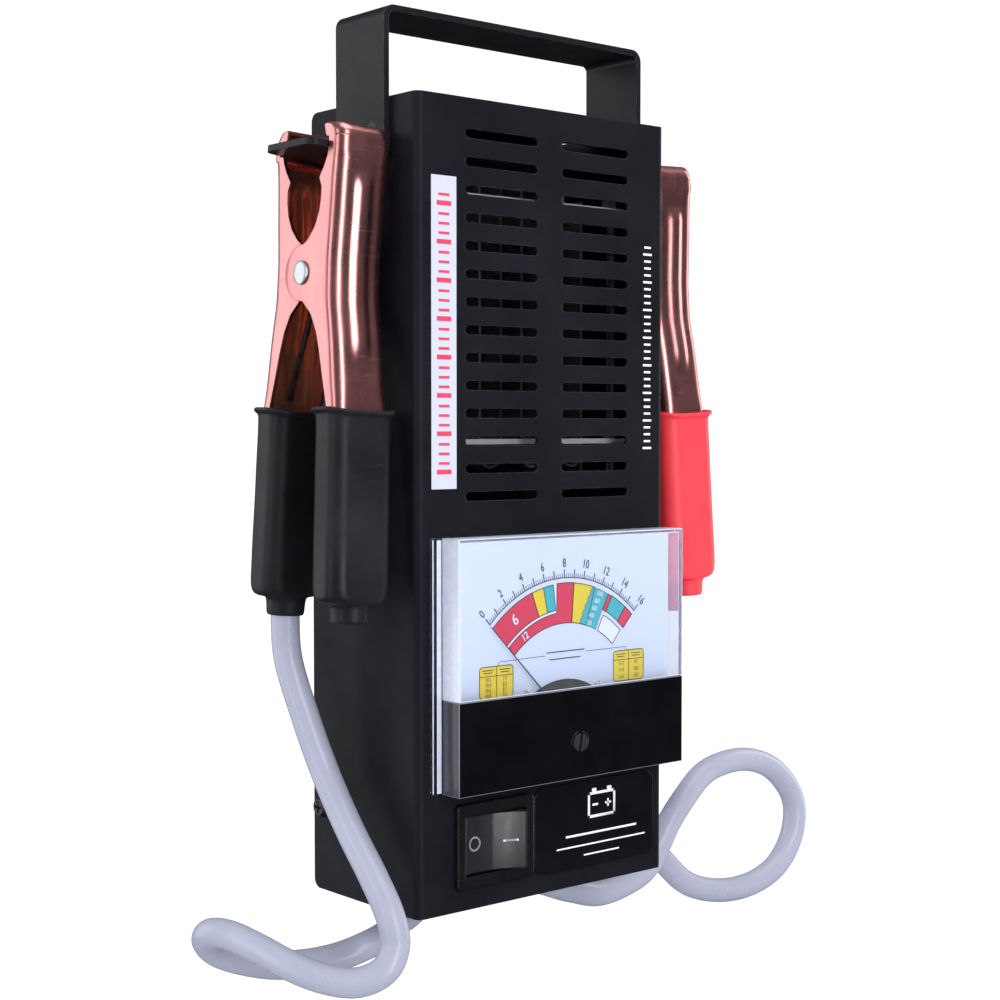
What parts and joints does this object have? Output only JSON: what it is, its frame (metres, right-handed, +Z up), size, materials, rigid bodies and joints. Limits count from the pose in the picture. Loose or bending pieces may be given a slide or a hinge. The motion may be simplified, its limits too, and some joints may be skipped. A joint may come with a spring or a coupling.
{
  "type": "battery load tester",
  "caption": "Portable battery load tester: tall vented sheet-metal case with strap handle, analogue panel meter, rocker switch and two parked copper clamps on leads.",
  "frame": {"origin": "centre of the back panel's outer face", "axes": "+X to the right seen from the front, +Y out of the back panel, +Z up towards the handle"},
  "size_m": [0.2683, 0.07, 0.3103],
  "materials": {
    "case_paint": "satin black powder coat",
    "black_steel": "black oxide",
    "label": "pale printed film",
    "plate": "gloss black film",
    "rubber": "matte",
    "black_plastic": "fine matte",
    "gloss_black": "gloss",
    "clear": "clear acrylic",
    "dial": "printed white enamel",
    "steel": "plain",
    "magnet": "plain",
    "needle": "matte black",
    "copper_wire": "enamelled copper wire",
    "spring_bronze": "bronze",
    "rocker": "satin dark grey",
    "white_plastic": "plain",
    "board": "white fibre board",
    "element": "bare resistance strip",
    "lead_red": "insulated wire",
    "cable": "grey PVC",
    "copper": "copper plated steel",
    "spring_steel": "dark",
    "grip_black": "soft vinyl",
    "grip_red": "soft vinyl"
  },
  "bodies": {
    "case": {"front_cover": "case_paint", "rear_panel": "case_paint", "handle_strap": "case_paint", "strap_rivets": "black_steel", "case_screws": "black_steel", "caution_label": "label", "side_marking": "label", "name_plate": "plate", "cable_grommets": "rubber", "meter_base": "black_plastic", "meter_window": "clear", "meter_mask": "gloss_black", "dial_plate": "dial", "dial_screws": "steel", "meter_magnet": "magnet", "meter_core": "steel", "meter_bridge": "black_plastic", "meter_studs": "steel", "switch_body": "gloss_black", "switch_terminals": "steel", "insulator_boards": "board", "load_element": "element", "tie_rods": "steel", "tie_nuts": "steel", "load_brackets": "steel", "internal_leads": "lead_red", "cable_black": "cable", "cable_red": "cable"},
    "needle_system": {"needle": "needle", "moving_coil": "copper_wire", "hairspring": "spring_bronze"},
    "zero_adjuster": {"zero_screw": "black_plastic"},
    "zero_lever": {"zero_arm": "spring_bronze"},
    "rocker": {"rocker": "rocker", "rocker_plunger": "white_plastic"},
    "black_clamp": {"black_rear_jaw": "copper", "black_rivet": "steel", "black_spring": "spring_steel", "black_rear_grip": "grip_black", "black_lug": "copper"},
    "black_front_half": {"black_front_jaw": "copper", "black_front_grip": "grip_black"},
    "red_clamp": {"red_rear_jaw": "copper", "red_rivet": "steel", "red_spring": "spring_steel", "red_rear_grip": "grip_red", "red_lug": "copper"},
    "red_front_half": {"red_front_jaw": "copper", "red_front_grip": "grip_red"}
  },
  "joints": [
    {"name": "rocker_tilt", "type": "hinge", "parent": "case", "child": "rocker", "pos_m": [-0.023, -0.0524, -0.1048], "axis": [0, 0, 1], "range_deg": [0, 25]},
    {"name": "needle_swing", "type": "hinge", "parent": "case", "child": "needle_system", "pos_m": [0.00335, -0.0604, -0.0681], "axis": [0, 1, 0], "range_deg": [0, 90]},
    {"name": "zero_adjust", "type": "hinge", "parent": "case", "child": "zero_adjuster", "pos_m": [0.005, -0.064, -0.0757], "axis": [0, 1, 0], "range_deg": [-60, 60]},
    {"name": "zero_lever_turn", "type": "hinge", "parent": "case", "child": "zero_lever", "pos_m": [0.00335, -0.0627, -0.0681], "axis": [0, 1, 0], "range_deg": [-7, 7]},
    {"name": "black_clamp_slide", "type": "slide", "parent": "case", "child": "black_clamp", "axis": [-0.9945, 0, 0.1045], "range_m": [0, 0.035], "deforming": ["cable_black"]},
    {"name": "black_jaw_open", "type": "hinge", "parent": "black_clamp", "child": "black_front_half", "pos_m": [-0.0672, -0.02985, 0.07054], "axis": [0.999, 0, -0.0454], "range_deg": [0, 11], "deforming": ["black_spring"]},
    {"name": "red_clamp_slide", "type": "slide", "parent": "case", "child": "red_clamp", "axis": [0.9945, 0, 0.1045], "range_m": [0, 0.035], "deforming": ["cable_red"]},
    {"name": "red_jaw_open", "type": "hinge", "parent": "red_clamp", "child": "red_front_half", "pos_m": [0.0672, -0.02985, 0.07054], "axis": [0.999, 0, 0.0454], "range_deg": [0, 11], "deforming": ["red_spring"]}
  ],
  "couplings": [
    {"joint": "zero_lever_turn", "follows": "zero_adjust", "ratio": -0.113}
  ]
}
